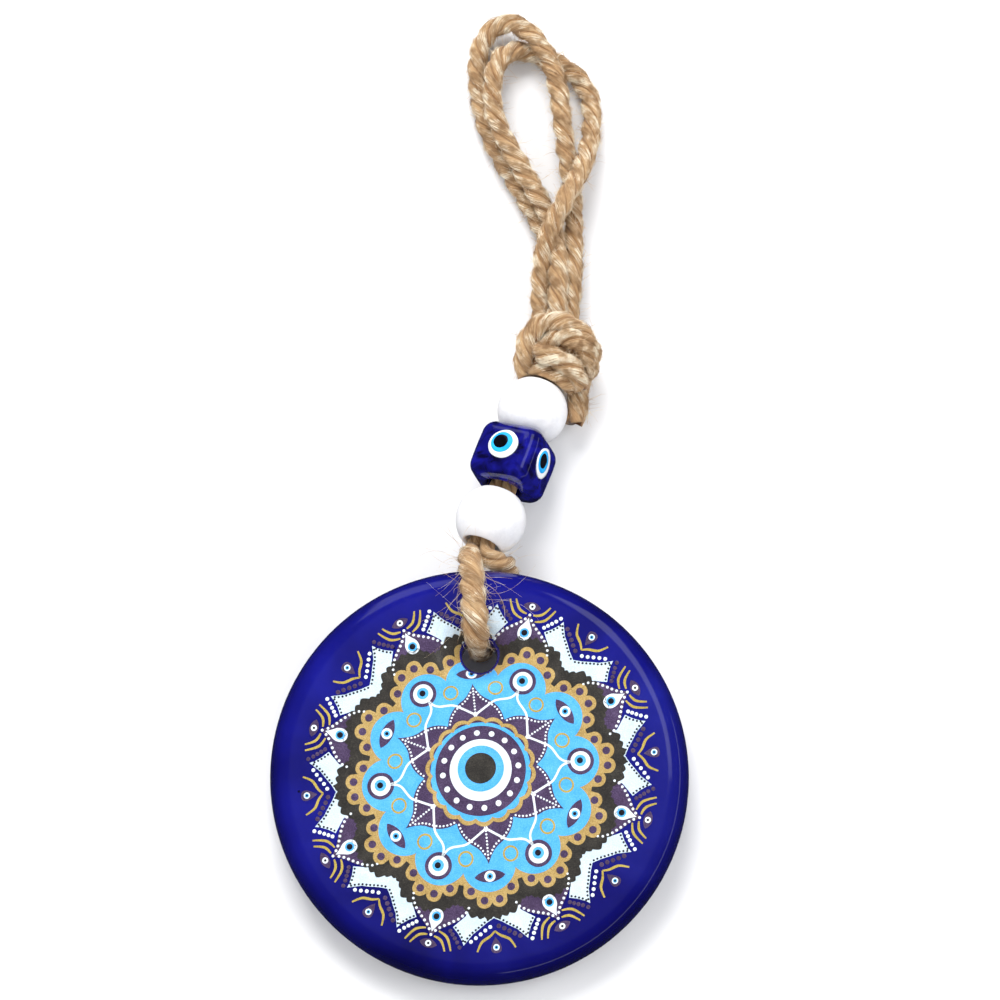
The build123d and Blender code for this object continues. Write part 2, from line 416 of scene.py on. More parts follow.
disc_loop_route = [
    (-1.3, 21.2, 7.9), (-1.9, 19.8, 10.7), (-1.6, 17.6, 14.2), (-1.1, 11.8, 15.3),
    (-0.8, 7.4, 15.1), (-0.4, 4.9, 13.6), (-0.2, 4.4, 7.0), (0.1, 4.7, 1.8),
    (2.0, 9.4, 1.75), (3.6, 14.4, 1.8), (4.6, 18.0, 2.4), (4.8, 19.6, 4.6),
    (4.1, 19.3, 7.3), (2.4, 19.3, 9.2), (0.7, 20.5, 9.3),
]
outer_loop_route = [
    (15.3, 63.5, 4.2), (15.7, 68.4, 4.0), (16.0, 73.6, 3.9), (16.2, 79.0, 3.9), (16.1, 84.8, 4.0),
    (15.7, 90.2, 4.2), (14.9, 95.7, 4.6), (14.2, 101.3, 5.0), (13.6, 106.4, 5.3), (12.5, 110.9, 5.3),
    (10.6, 114.9, 5.0), (7.8, 118.4, 4.4), (4.5, 119.8, 3.8), (1.5, 118.3, 3.2), (-0.3, 115.0, 2.5),
    (-0.6, 110.4, 2.0), (0.0, 105.2, 1.75), (1.3, 100.0, 1.8), (3.6, 95.1, 1.75), (6.1, 90.7, 1.8),
    (8.6, 86.4, 1.75), (10.9, 81.8, 1.8), (12.5, 76.7, 1.75), (13.1, 71.1, 1.8), (13.2, 64.0, 2.0),
]
inner_loop_route = [
    (10.4, 63.5, 4.3), (10.3, 68.5, 4.2), (10.5, 73.4, 4.7), (11.3, 77.9, 6.2), (13.0, 82.0, 7.5),
    (15.2, 86.4, 7.7), (17.3, 90.7, 6.6), (18.8, 96.0, 4.5), (19.5, 101.4, 2.9), (19.2, 106.4, 2.0),
    (17.0, 110.3, 1.8), (13.9, 112.5, 1.75), (10.4, 114.2, 1.9), (7.1, 115.0, 2.6), (4.1, 114.0, 3.6),
    (2.4, 110.9, 4.6), (1.9, 106.2, 5.0), (2.5, 101.3, 5.1), (4.6, 96.5, 5.0), (7.1, 92.1, 4.9),
    (9.6, 87.7, 4.7), (11.9, 83.4, 4.3), (13.3, 78.6, 4.5), (13.5, 73.6, 5.4), (13.4, 68.3, 6.3),
    (13.1, 63.2, 6.5),
]
tail_route = [(18.2, 54.0, 4.6), (17.8, 49.3, 4.0), (17.0, 45.0, 3.4)]

PAIR_TOP = 26.5          # the strands leave the knot this far along the string from the lower bead
LOOP_GAP = 6.6           # and the loop's own points begin this far before the lower bead
BORE_END = 3.0           # the straight run comes this close to the loop's first point


def through_the_beads(end):
    """The strand's straight run in the beads, beside the axis, from the knot to near this end of the loop."""
    near = Vector(end) + chain_dir * BORE_END
    far = Vector(end) + chain_dir * (PAIR_TOP + LOOP_GAP)
    return [tuple(far), tuple(near)]


strung_route = (through_the_beads(disc_loop_route[0]) + disc_loop_route
                + through_the_beads(disc_loop_route[-1])[::-1])


# ---------------------------------------------------------------- rope
def spline_points(route):
    """Points along the smooth curve that has the route as its control points."""
    curve = bpy.data.curves.new("route", "CURVE")
    curve.dimensions = "3D"
    curve.resolution_u = 24
    spline = curve.splines.new("NURBS")
    spline.points.add(len(route) - 1)
    for point, place in zip(spline.points, route):
        point.co = (*(Vector(place) * MM), 1)
    spline.order_u = 3
    spline.use_endpoint_u = True
    carrier = bpy.data.objects.new("route", curve)
    mesh = bpy.data.meshes.new_from_object(carrier)
    points = [v.co / MM for v in mesh.vertices]
    bpy.data.objects.remove(carrier)
    bpy.data.curves.remove(curve)
    bpy.data.meshes.remove(mesh)
    return points


def even_points(points, spacing):
    """The same line with points this far apart."""
    total = sum((b - a).length for a, b in zip(points, points[1:]))
    count = max(2, round(total / spacing))
    step = total / count
    out = [points[0]]
    need = step
    for a, b in zip(points, points[1:]):
        run = (b - a).length
        while run >= need and len(out) < count:
            a = a.lerp(b, need / run)
            out.append(a.copy())
            run = (b - a).length
            need = step
        need -= run
    out.append(points[-1])
    return out


def frames_along(points):
    """A tangent and two side directions at each point, turning as little as possible."""
    out = []
    side = None
    for i, point in enumerate(points):
        tangent = (points[min(i + 1, len(points) - 1)] - points[max(i - 1, 0)]).normalized()
        if side is None:
            side = tangent.orthogonal().normalized()
        side = (side - tangent * side.dot(tangent)).normalized()
        out.append((point, tangent, side, tangent.cross(side)))
    return out


PLIES = 3
PITCH = 11.6             # one turn of a ply along the cord
PLY_R = 0.295            # of the cord's diameter
PLY_OFF = 0.208
RINGS_APART = 0.34
SIDES = 22


class Rope:
    """A left-laid three-ply cord along a route, with what its loose fibres need to know."""

    def __init__(self, seed, points, diameter, scale_at=None, phase=0.0, pitch=PITCH, lay=-1):
        self.seed = seed
        self.points = even_points(points, RINGS_APART)
        self.frames = frames_along(self.points)
        self.diameter = diameter
        self.pitch = pitch
        self.lay = lay
        self.phase = phase
        count = len(self.points)
        scales = [scale_at(p) if scale_at else 1.0 for p in self.points]
        self.thick = [diameter * scales[i] * (1 + 0.05 * noise.noise(Vector((i * 0.03, seed, 3.1))))
                      for i in range(count)]
        self.turns = []
        turn = phase
        for i in range(count):
            self.turns.append(turn)
            wander = 1 + 0.22 * noise.noise(Vector((i * 0.02, seed, 7.7)))
            turn += lay * TAU * RINGS_APART / pitch * wander

    def ply_centre(self, i, ply):
        point, tangent, side, other = self.frames[i]
        angle = self.turns[i] + ply * TAU / PLIES
        wobble = 1 + 0.1 * noise.noise(Vector((i * 0.05, self.seed, ply * 9.3)))
        out = side * math.cos(angle) + other * math.sin(angle)
        return point + out * (PLY_OFF * self.thick[i] * wobble), out

    def build(self, name):
        """The rope's mesh: one tube per ply, ridged along its fibres."""
        points, faces, uvs, crests = [], [], [], []
        count = len(self.points)
        for ply in range(PLIES):
            centres = [self.ply_centre(i, ply) for i in range(count)]
            base = len(points)
            along = 0.0
            for i in range(count):
                centre, out = centres[i]
                before = centres[max(i - 1, 0)][0]
                after = centres[min(i + 1, count - 1)][0]
                tangent = (after - before).normalized()
                along += (centre - before).length
                first = (out - tangent * out.dot(tangent)).normalized()
                second = tangent.cross(first)
                swell = 1 + 0.07 * noise.noise(Vector((i * 0.045, ply * 5.1, self.seed)))
                radius = PLY_R * self.thick[i] * swell
                for k in range(SIDES):
                    angle = TAU * k / SIDES
                    spin = angle * 3.2 + along * 0.35
                    round_it = (math.cos(spin) * 2.4, math.sin(spin) * 2.4, along * 0.16 + ply * 7)
                    ridge = noise.noise(Vector(round_it))
                    fine = noise.noise(Vector((k * 1.7, along * 0.5, ply * 3.3 + self.seed)))
                    r = radius * (1 + 0.055 * ridge + 0.03 * fine)
                    way = first * math.cos(angle) + second * math.sin(angle)
                    points.append(centre + way * r)
                    uvs.append((k / SIDES + along * 0.03 + ply * 0.37, along * 0.3 + self.seed * 3.0))
                    # How far out a point stands: the jute material paints shade where this is low, between
                    # the plies.
                    reach = (points[-1] - self.points[i]).length / ((PLY_R + PLY_OFF) * self.thick[i])
                    crests.append(max(0.0, min(1.0, (reach - 0.35) / 0.62)))
            faces += ring_faces(count, SIDES, base)
            for i, flip in ((0, True), (count - 1, False)):
                centre = centres[i][0]
                tip = len(points)
                points.append(centre)
                uvs.append((0.5, i * 0.1))
                # The caps get a low crest, so the painted shade darkens them.
                crests.append(0.45)
                ring = [base + i * SIDES + k for k in range(SIDES)]
                for k in range(SIDES):
                    pair = (ring[k], ring[(k + 1) % SIDES])
                    faces.append((pair[1], pair[0], tip) if flip else (pair[0], pair[1], tip))
        obj = add_mesh(name, points, faces, JUTE)
        write_fibre_data(obj, uvs, crests)
        return obj


def write_fibre_data(obj, uvs, crests):
    """UVs that run along the fibres, and how far out each point stands."""
    mesh = obj.data
    layer = mesh.uv_layers.new(name="Fibre")
    flat = [0.0] * (2 * len(mesh.loops))
    for polygon in mesh.polygons:
        corners = list(polygon.loop_indices)
        us = [uvs[mesh.loops[c].vertex_index][0] for c in corners]
        for c, u in zip(corners, us):
            if u < max(us) - 0.5:
                u += 1.0
            flat[2 * c] = u
            flat[2 * c + 1] = uvs[mesh.loops[c].vertex_index][1]
    layer.data.foreach_set("uv", flat)
    attribute = mesh.attributes.new("crest", "FLOAT", "POINT")
    attribute.data.foreach_set("value", crests)


BORE_REACH = 3.5         # a point this near the beads' axis is in a bore or close before it
HOLE_REACH = 3.2
HOLE_TOP = 10.5
HOLE_SQUEEZE = 0.86
OVER_DISC = 0.15         # how much thicker the strand is where it crosses the disc
OVER_DISC_Y = 21.0


def strand_scale(point):
    """Thinner where both strands share a bore and in the disc's hole, fuller over the disc."""
    along = (point - bead_centres["lower_bead"]).dot(chain_dir)
    away = (point - bead_centres["lower_bead"] - chain_dir * along).length
    if away > BORE_REACH:
        in_hole = math.hypot(point.x - hole_back.x, point.y - hole_back.y) < HOLE_REACH
        if in_hole and point.z < HOLE_TOP:
            return HOLE_SQUEEZE
        high = min(1.0, max(0.0, (point.z - HOLE_TOP) / 2.0))
        return 1.0 + OVER_DISC * (high * min(1.0, max(0.0, (OVER_DISC_Y - point.y) / 4.0)))
    start = min(1.0, max(0.0, (along + 7.5) / 2.5))
    return 1 - (1 - PAIR_SQUEEZE) * start


rope_strung = Rope(1.0, spline_points(strung_route), CORD_D * 1.1, strand_scale, phase=0.6)
rope_outer = Rope(2.0, spline_points(outer_loop_route), CORD_D, phase=1.7)
rope_inner = Rope(3.0, spline_points(inner_loop_route), CORD_D, phase=0.2)

cord_strung = rope_strung.build("cord_through_disc")
cord_outer = rope_outer.build("cord_outer_loop_rope")
cord_inner = rope_inner.build("cord_inner_loop_rope")


# ---------------------------------------------------------------- knot and tail
knot_low, knot_high = (Vector(corner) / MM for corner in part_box("cord_knot"))
knot_centre = (knot_low + knot_high) / 2

# each strand of the knot, from the knot's centre: right, towards the loop, up
knot_strands = {
    "left_wrap": [(-3.4, -5.4, -3.0), (-5.6, -4.2, -0.6), (-5.9, -1.2, 1.9), (-5.2, 2.2, 3.2),
                  (-2.9, 4.5, 3.8), (0.2, 4.8, 4.2), (3.4, 3.4, 3.8), (5.6, 0.9, 2.4), (5.9, -1.7, 0.0),
                  (4.2, -3.6, -2.6)],
    "right_wrap": [(-2.2, 0.6, 1.6), (-0.6, 1.9, 3.3), (1.8, 1.8, 4.2), (4.2, 0.6, 3.6), (5.3, -1.2, 1.9),
                   (4.6, -3.2, -0.2), (2.8, -4.4, -2.2)],
    "lower_wrap": [(-3.8, 1.9, 0.9), (-3.1, -0.6, 3.0), (-1.1, -2.0, 4.0), (1.4, -2.9, 4.1),
                   (3.3, -4.2, 3.0), (3.7, -6.0, 0.6)],
    "under_wrap": [(-4.2, -3.2, 0.6), (-1.9, -4.4, 2.0), (0.9, -5.2, 2.0), (3.0, -6.0, 0.4)],
    "back_wrap": [(-5.0, 3.2, 0.4), (-5.2, 0.4, -3.0), (-2.4, -1.6, -3.9), (1.2, -1.8, -3.9),
                  (4.4, 0.4, -3.0), (4.6, 3.0, 0.4)],
    "back_cross": [(-2.4, 4.6, -1.2), (-0.6, 2.6, -3.6), (1.4, -0.6, -3.8), (2.6, -3.8, -3.0),
                   (3.6, -5.6, -0.8)],
}
KNOT_STRAND_D = 3.45
TAIL_D = 3.5
TAIL_FRAY_Y = 54.0       # below this the tail's plies spread towards its end
KNOT_CLEAR = 6.25        # the knot stays this far from the upper bead's centre


def clear_of_bead(obj, centre, radius):
    """Keep a soft piece outside a bead that turns beside it."""
    for vertex in obj.data.vertices:
        place = vertex.co / MM - centre
        if place.length < radius:
            vertex.co = (centre + place.normalized() * radius) * MM


def build_core(name, centre, size, seed):
    """A lumpy closed body of packed fibres that fills the middle of the knot."""
    points = []
    rows, columns = 22, 36
    for i in range(rows + 1):
        tilt = math.pi * i / rows
        for k in range(columns):
            turn = TAU * k / columns
            way = Vector((math.sin(tilt) * math.cos(turn), math.sin(tilt) * math.sin(turn), math.cos(tilt)))
            lump = 1 + 0.08 * noise.noise(way * 2.3 + Vector((seed, 0, 0)))
            points.append(centre + Vector((way.x * size[0], way.y * size[1], way.z * size[2])) * lump)
    obj = add_mesh(name, points, ring_faces(rows + 1, columns, flip=True), JUTE)
    uvs = [((j % columns) / columns, (j // columns) * 0.15) for j in range(len(points))]
    # One middling crest for the whole core, so the painted shade darkens all of it inside the knot.
    write_fibre_data(obj, uvs, [0.55] * len(points))
    return obj


def merge(name, objects):
    """Join mesh objects into the first of them."""
    with bpy.context.temp_override(active_object=objects[0], selected_editable_objects=objects,
                                   selected_objects=objects, object=objects[0]):
        bpy.ops.object.join()
    objects[0].name = name
    return objects[0]


knot_parts = [build_core("knot_core", knot_centre + Vector((0, -0.2, -0.2)), (5.3, 5.2, 3.9), 4.0)]
knot_ropes = []
for number, (strand, route) in enumerate(knot_strands.items()):
    placed = [tuple(knot_centre + Vector(p)) for p in route]
    rope = Rope(10.0 + number, spline_points(placed), KNOT_STRAND_D, phase=number * 1.1, pitch=11.0)
    knot_ropes.append(rope)
    knot_parts.append(rope.build("knot_" + strand))
knot = merge("jute_knot", knot_parts)
clear_of_bead(knot, bead_centres["upper_bead"], KNOT_CLEAR)

def tail_scale(point):
    return 1.0 + 0.012 * (TAIL_FRAY_Y - point.y) ** 1.2 if point.y < TAIL_FRAY_Y else 1.0


tail_shift = Vector((-0.9, 0.9, 0.2))
tail_points = spline_points([tuple(Vector(p) + tail_shift) for p in tail_route])
tail_rope = Rope(20.0, tail_points, TAIL_D, tail_scale, phase=0.9, pitch=15.0)
tail = tail_rope.build("jute_tail")


# ---------------------------------------------------------------- loose fibres
class FibreBundle:
    """Thin three-sided hairs gathered into one mesh."""

    def __init__(self):
        self.points = []
        self.faces = []

    def hair(self, line, thick):
        """One hair along a line, tapering to its end."""
        base = len(self.points)
        count = len(line)
        for i, (point, tangent, side, other) in enumerate(frames_along(line)):
            r = 0.5 * thick * (1 - 0.55 * i / (count - 1))
            for k in range(3):
                angle = TAU * k / 3
                self.points.append(point + (side * math.cos(angle) + other * math.sin(angle)) * r)
        self.faces += ring_faces(count, 3, base)
        last = base + 3 * (count - 1)
        self.faces.append((base + 2, base + 1, base))
        self.faces.append((last, last + 1, last + 2))

    def build(self, name):
        return add_mesh(name, self.points, self.faces, FIBRE)


FLOOR_CLEAR = 0.12
FACE_CLEAR = 0.15
BEAD_CLEAR = 6.6         # from a bead's centre, within BEAD_SPAN along the string
BEAD_SPAN = 5.0
HUG_END = 6.9            # a fibre on the cord ends this far from a bead's centre
HAIR_LOW, HAIR_HIGH = 1.0, 17.5         # a loose fibre turns level below and above these heights


def keep_clear(point):
    """Hold a loose fibre off the table, the disc and the beads."""
    point.z = max(point.z, FLOOR_CLEAR)
    flat = point - disc_origin
    height = flat.dot(disc_normal)
    away = flat - disc_normal * height
    mouth = hole_back + disc_normal * DISC_T
    if away.length < DISC_R and (point - mouth).length > HOLE_R + 1.0:
        top = surface_height(away.x, away.dot(disc_up)) + FACE_CLEAR
        if DISC_T / 2 < height < top:
            point += disc_normal * (top - height)
    for centre in bead_centres.values():
        gap = point - centre
        if gap.length < BEAD_CLEAR and abs(gap.dot(chain_dir)) < BEAD_SPAN:
            point += gap.normalized() * (BEAD_CLEAR - gap.length)
    return point


def hug_fibre(rope, rng, bundle, span):
    """A fibre that lies along a ply's outside and lifts at its ends."""
    count = len(rope.points)
    start = int(rng.uniform(*span) * (count - 4))
    length = rng.uniform(2.5, 9.0)
    steps = max(5, int(length / 0.7))
    stride = max(1, int(length / steps / RINGS_APART))
    ply = rng.randrange(PLIES)
    lean = rng.uniform(-1.1, 1.1)
    drift = rng.uniform(-0.05, 0.05)
    lift_start, lift_end = rng.uniform(0, 0.5) ** 2 * 2.4, rng.uniform(0, 0.9) ** 2 * 2.2
    line = []
    for j in range(steps):
        i = start + j * stride
        if i >= count - 1:
            break
        centre, out = rope.ply_centre(i, ply)
        tangent = rope.frames[i][1]
        angle = lean + drift * j
        way = Matrix.Rotation(angle, 3, tangent) @ out
        share = j / (steps - 1)
        lift = lift_start * max(0.0, 0.25 - share) * 4 + lift_end * max(0.0, share - 0.65) * 2.8
        radius = PLY_R * rope.thick[i] * 1.03 + 0.03 + 0.45 * lift
        point = centre + way * radius
        if any((point - bead).length < HUG_END for bead in bead_centres.values()):
            break
        line.append(keep_clear(point))
    if len(line) > 3:
        bundle.hair(line, rng.uniform(0.05, 0.11))


def fly_fibre(rope, rng, bundle, reach, span, curl):
    """A fibre that leaves the cord and wanders off."""
    count = len(rope.points)
    i = int(rng.uniform(*span) * (count - 2))
    point, tangent, side, other = rope.frames[i]
    turn = rng.uniform(0, TAU)
    out = side * math.cos(turn) + other * math.sin(turn)
    point = point + out * (0.42 * rope.thick[i])
    way = (out * rng.uniform(0.25, 1.0) + tangent * rng.uniform(-1.0, 1.0)).normalized()
    bend = Vector([rng.uniform(-1, 1) for _ in range(3)]).normalized() * curl
    steps = 12
    step = rng.uniform(*reach) / steps
    line = [point.copy()]
    for _ in range(steps):
        bend = (bend + Vector([rng.uniform(-1, 1) for _ in range(3)]) * 0.06)
        way = (way + bend * 0.45 * step).normalized()
        if (point.z < HAIR_LOW and way.z < 0) or (point.z > HAIR_HIGH and way.z > 0):
            way.z *= 0.2
        point = point + way * step
        line.append(keep_clear(point.copy()))
    bundle.hair(line, rng.uniform(0.035, 0.075))


def surface_height(x, y):
    """The printed face's height above the disc's back plane at this place on it."""
    radius = math.hypot(x, y)
    flat_r = DISC_R - RIM_ROUND
    if radius > flat_r:
        share = min(1.0, (radius - flat_r) / RIM_ROUND)
        height = DISC_T / 2 + DISC_T / 2 * (1 - share ** RIM_POWER) ** (1 / RIM_POWER)
    else:
        height = DISC_T + CROWN * (1 - (radius / flat_r) ** 2)
    from_hole = math.hypot(x, y - HOLE_UP)
    if from_hole < DIMPLE_R:
        share = (DIMPLE_R - from_hole) / (DIMPLE_R - HOLE_R)
        height -= DIMPLE_DEPTH * share ** DIMPLE_POWER
    return height


def on_disc(x, y, lift=0.0):
    """The point this far above the printed face."""
    return disc_origin + disc_right * x + disc_up * y + disc_normal * (surface_height(x, y) + lift)


# ---------------------------------------------------------------- square bead
CUBE_ROLL = math.radians(-20)
CUBE_HALF = 5.65
CUBE_HALF_LONG = 5.25
CUBE_CORNER = 2.6
CUBE_END = 2.3
CUBE_BULGE = 0.15
CUBE_LUMPS = 0.14
MOUTH_IN = 0.5           # the bore's mouth is rounded this far across
MOUTH_ALONG = 0.7        # and this far along
cube_front = chain_top * math.cos(CUBE_ROLL) + chain_side * math.sin(CUBE_ROLL)
cube_right = chain_side * math.cos(CUBE_ROLL) - chain_top * math.sin(CUBE_ROLL)


def square_reach(angle, half, corner):
    """From the middle of a round-cornered square to its edge."""
    c, s = abs(math.cos(angle)), abs(math.sin(angle))
    c, s = max(c, s), min(c, s)
    if half * s / c <= half - corner:
        return half / c
    run = (c + s) * (half - corner)
    return run + math.sqrt(run * run - 2 * (half - corner) ** 2 + corner ** 2)


def bead_limit(reach, along):
    """The square bead's ends are hollowed where the round beads press on them."""
    gap = (bead_centres["upper_bead" if along > 0 else "lower_bead"] - bead_centres["square_bead"]).length
    if reach >= BEAD_R:
        return along
    room = gap - math.sqrt(BEAD_R ** 2 - reach ** 2) - 0.06
    return max(-room, min(room, along))


def build_cube():
    """Rings from the bore out over one end, along the sides and back in over the other end."""
    around = 120
    mouth = CUBE_HALF_LONG - MOUTH_ALONG
    half_profile = [(0.0, BORE_R, 0.0), (0.0, BORE_R, mouth)]
    half_profile += [(0.0, BORE_R + MOUTH_IN * (1 - math.cos(t)), mouth + MOUTH_ALONG * math.sin(t))
                     for t in (0.4, 0.8, 1.2, math.pi / 2)]
    half_profile += [(share, CUBE_END, CUBE_HALF_LONG) for share in (0.2, 0.4, 0.6, 0.8, 1.0)]
    half_profile += [(1.0, CUBE_END * (1 - math.sin(t)), CUBE_HALF_LONG - CUBE_END * (1 - math.cos(t)))
                     for t in [math.pi / 2 * j / 9 for j in range(1, 10)]]
    half_profile += [(1.0, 0.0, 1.8), (1.0, 0.0, 0.8)]
    profile = half_profile + [(share, inset, -along) for share, inset, along in half_profile[:0:-1]]
    points = []
    centre = bead_centres["square_bead"]
    for share, inset, along in profile:
        for k in range(around):
            angle = TAU * k / around
            if share == 0.0:
                reach = inset
            else:
                outer = square_reach(angle, CUBE_HALF - inset, max(0.9, CUBE_CORNER - inset))
                reach = (BORE_R + MOUTH_IN) * (1 - share) + outer * share
            if share == 1.0:
                reach += CUBE_BULGE * (1 - (along / CUBE_HALF_LONG) ** 2)
            lump = noise.noise(Vector((math.cos(angle) * 1.3, math.sin(angle) * 1.3, along * 0.25)))
            reach += CUBE_LUMPS * lump * share
            points.append(centre + chain_dir * bead_limit(reach, along)
                          + (cube_front * math.cos(angle) + cube_right * math.sin(angle)) * reach)
    faces = ring_faces(len(profile), around, closed=True, flip=True)
    return add_mesh("cube_glass_body", points, faces, CUBE_GLASS)


def on_side(outward, across, u, v, lift):
    """A point on one side of the square bead, u round it and v along it, bent over its corners."""
    flat = CUBE_HALF - CUBE_CORNER
    over = max(0.0, abs(u) - flat)
    bend = over / CUBE_CORNER
    reach_out = CUBE_HALF - CUBE_CORNER * (1 - math.cos(bend)) + lift * math.cos(bend)
    reach_across = min(abs(u), flat) + (CUBE_CORNER + lift) * math.sin(bend)
    end_over = max(0.0, abs(v) - (CUBE_HALF_LONG - CUBE_END))
    reach_out -= CUBE_END - math.sqrt(max(0.0, CUBE_END ** 2 - end_over ** 2))
    return (bead_centres["square_bead"] + outward * reach_out + across * math.copysign(reach_across, u)
            + chain_dir * v)


EYE_R = 2.65
EYE_RISE = 0.26
EYE_LIFT = 0.2           # clears the bulge of the sides
EYE_UNDER = -0.3         # the dots' hidden edges lie this deep in the glass


def eye_dome(u, v):
    """How far a place in the eye stands above its edge."""
    return EYE_RISE * max(0.0, 1 - (u * u + v * v) / (1.12 * EYE_R) ** 2) ** 0.5


def build_eye_dots(name, radius, shift, layer, material):
    """One colour of the melted glass eyes on all four sides: a low dome that follows the side."""
    points, faces = [], []
    rings, around = 9, 44
    # each side: outward, across, the eye's place on it, and which way its colours slip
    sides = [(cube_front, cube_right, (-0.05, 0.35), 0.0), (cube_right, -cube_front, (-0.95, 0.35), 0.35),
             (-cube_front, -cube_right, (0.3, -0.2), 1.1), (-cube_right, cube_front, (-0.35, 0.3), 2.3)]
    for outward, across, (right, up), turn in sides:
        slip = Vector((shift * math.cos(turn + 2.6), shift * math.sin(turn + 2.6)))
        under = len(points)
        for j in range(rings + 1):
            share = 0.94 if j == 0 else 1 - (j - 1) / rings
            for k in range(around):
                angle = TAU * k / around
                way = Vector((math.cos(angle) * 1.4, math.sin(angle) * 1.4, turn + radius))
                ripple = 1 + 0.03 * noise.noise(way)
                u = slip.x + radius * share * ripple * math.cos(angle)
                v = slip.y + radius * share * ripple * math.sin(angle)
                edge = min(1.0, (1 - share) * radius / 0.14)
                lift = EYE_UNDER if j == 0 else EYE_LIFT + eye_dome(u, v) + layer * (0.3 + 0.7 * edge)
                points.append(on_side(outward, across, u + right, v + up, lift))
        top = len(points)
        for lift in (EYE_LIFT + eye_dome(slip.x, slip.y) + layer, EYE_UNDER):
            points.append(on_side(outward, across, slip.x + right, slip.y + up, lift))
        faces += ring_faces(rings + 1, around, under)
        last = under + rings * around
        for k in range(around):
            faces.append((last + k, last + (k + 1) % around, top))
            faces.append((under + (k + 1) % around, under + k, top + 1))
    return add_mesh(name, points, faces, material)


cube_body = build_cube()
cube_dots = {
    "white": build_eye_dots("cube_dots_white", EYE_R, 0.0, 0.0, DOT_WHITE),
    "blue": build_eye_dots("cube_dots_blue", 1.95, 0.38, 0.05, DOT_BLUE),
    "pupil": build_eye_dots("cube_dots_pupil", 1.33, 0.66, 0.12, DOT_DARK),
}

# ---------------------------------------------------------------- glass disc
def build_disc():
    """Rings round the hole blend into rings round the disc: over the face, the rim and the back."""
    spokes = 192
    rings = []                                   # each ring: function of spoke direction -> (x, y, height)
    back_round = 1.2

    def hole_ring(radius, height):
        return lambda way: (way[0] * radius, HOLE_UP + way[1] * radius, height)

    def reach_of(way, radius):
        """Distance from the hole's centre to the circle of this radius round the disc's centre."""
        across = HOLE_UP * way[1]
        return -across + math.sqrt(across * across - HOLE_UP ** 2 + radius ** 2)

    def disc_ring(radius, height):
        def place(way):
            reach = reach_of(way, radius)
            return (way[0] * reach, HOLE_UP + way[1] * reach, height)
        return place

    def blend_ring(share, radius, near, height):
        def place(way):
            reach = near + (reach_of(way, radius) - near) * share
            return (way[0] * reach, HOLE_UP + way[1] * reach, height)
        return place

    inner_edge = DISC_R - RIM_ROUND
    rings.append(hole_ring(HOLE_R, back_round))
    rings.append(hole_ring(HOLE_R, 3.0))
    for k in range(15):
        rings.append(hole_ring(HOLE_R + (DIMPLE_R - HOLE_R) * (k / 14) ** 1.35, None))
    for k in range(1, 15):
        rings.append(blend_ring(k / 15, inner_edge, DIMPLE_R, None))
    for k in range(17):
        rings.append(disc_ring(inner_edge + RIM_ROUND * math.sin(math.pi / 2 * k / 16), None))
    for k in range(15, -1, -1):
        share = math.sin(math.pi / 2 * k / 16)
        height = DISC_T / 2 - DISC_T / 2 * (1 - share ** RIM_POWER) ** (1 / RIM_POWER)
        rings.append(disc_ring(inner_edge + RIM_ROUND * share, height))
    for k in range(14, 0, -1):
        rings.append(blend_ring(k / 15, inner_edge, HOLE_R + back_round, 0.0))
    for k in range(6, 0, -1):
        turn = math.pi / 2 * k / 6
        rings.append(hole_ring(HOLE_R + back_round * (1 - math.cos(turn)), back_round * (1 - math.sin(turn))))
    points = []
    for ring in rings:
        for k in range(spokes):
            way = (math.cos(TAU * k / spokes), math.sin(TAU * k / spokes))
            x, y, height = ring(way)
            height = surface_height(x, y) if height is None else height
            stretch = OVAL / DISC_R * min(1.0, max(0.0, (math.hypot(x, y) - OVAL_FROM) / OVAL_OVER))
            y *= 1 + stretch
            x *= 1 + 0.4 * stretch
            points.append(disc_origin + disc_right * x + disc_up * y + disc_normal * height)
    return add_mesh("disc_glass_body", points, ring_faces(len(rings), spokes, closed=True), COBALT)


disc_body = build_disc()


# ---------------------------------------------------------------- print
PRINT_TURN = 6.5         # the whole pattern is turned this far
INK_STEP = 0.02          # from one coat of ink to the next
INK_UNDER = -0.05
DROP_HEIGHT = 0.05
LOW_DROP = 0.03
HOLE_CLEAR = 3.35        # no ink nearer to the hole's centre than this
LONGEST_FACE = 9.0       # the films' longest edges, away from the dimple
LONGEST_NEAR = 0.55      # and in it
SPOTS = ((-9.8, 20.2, 1.34), (-3.4, 21.8, 1.36), (3.4, 21.8, 1.36), (9.8, 20.2, 1.34))
LEAVES = ((-13.0, 22.0, 1.0), (-10.4, 22.7, 0.95), (-7.4, 23.6, 1.2), (-4.4, 24.0, 1.0), (-1.4, 24.3, 0.95),
          (1.4, 24.3, 0.95), (4.4, 24.0, 1.0), (7.4, 23.6, 1.2), (10.4, 22.7, 0.95), (13.0, 22.0, 1.0))

# listed curves: degrees from the shape's middle, and the radius there
STAR = ((0, 15.7), (0.8, 15.1), (2.5, 14.3), (5, 13.5), (8, 12.95), (12, 12.55), (16, 12.15), (20, 11.6),
        (24, 10.95), (27, 10.35), (30, 9.7))
PETAL = ((0, 28.8), (0.8, 28.2), (2, 27.5), (3.5, 26.95), (6, 26.2), (9, 25.3), (11.5, 24.2), (13.2, 22.6),
         (14, 20.6))
PATCH = ((0, 24.9), (3, 25.65), (6, 26.75), (8.6, 27.75), (10.0, 28.7), (10.8, 29.5), (11.6, 28.6),
         (13.2, 27.5), (15.4, 26.5))
PATCH_FOOT = ((11.0, 24.4), (10.0, 20.4))
BRACKET = ((0, 27.1), (1.5, 27.9), (3.6, 28.4), (5.2, 29.0), (6.2, 30.5))
PETAL_ARCS = (((1.2, 28.6), (2.6, 28.7), (4.6, 29.3), (5.8, 30.8)),
              ((2.4, 27.6), (4.6, 27.9), (6.5, 28.8), (7.7, 30.6)))
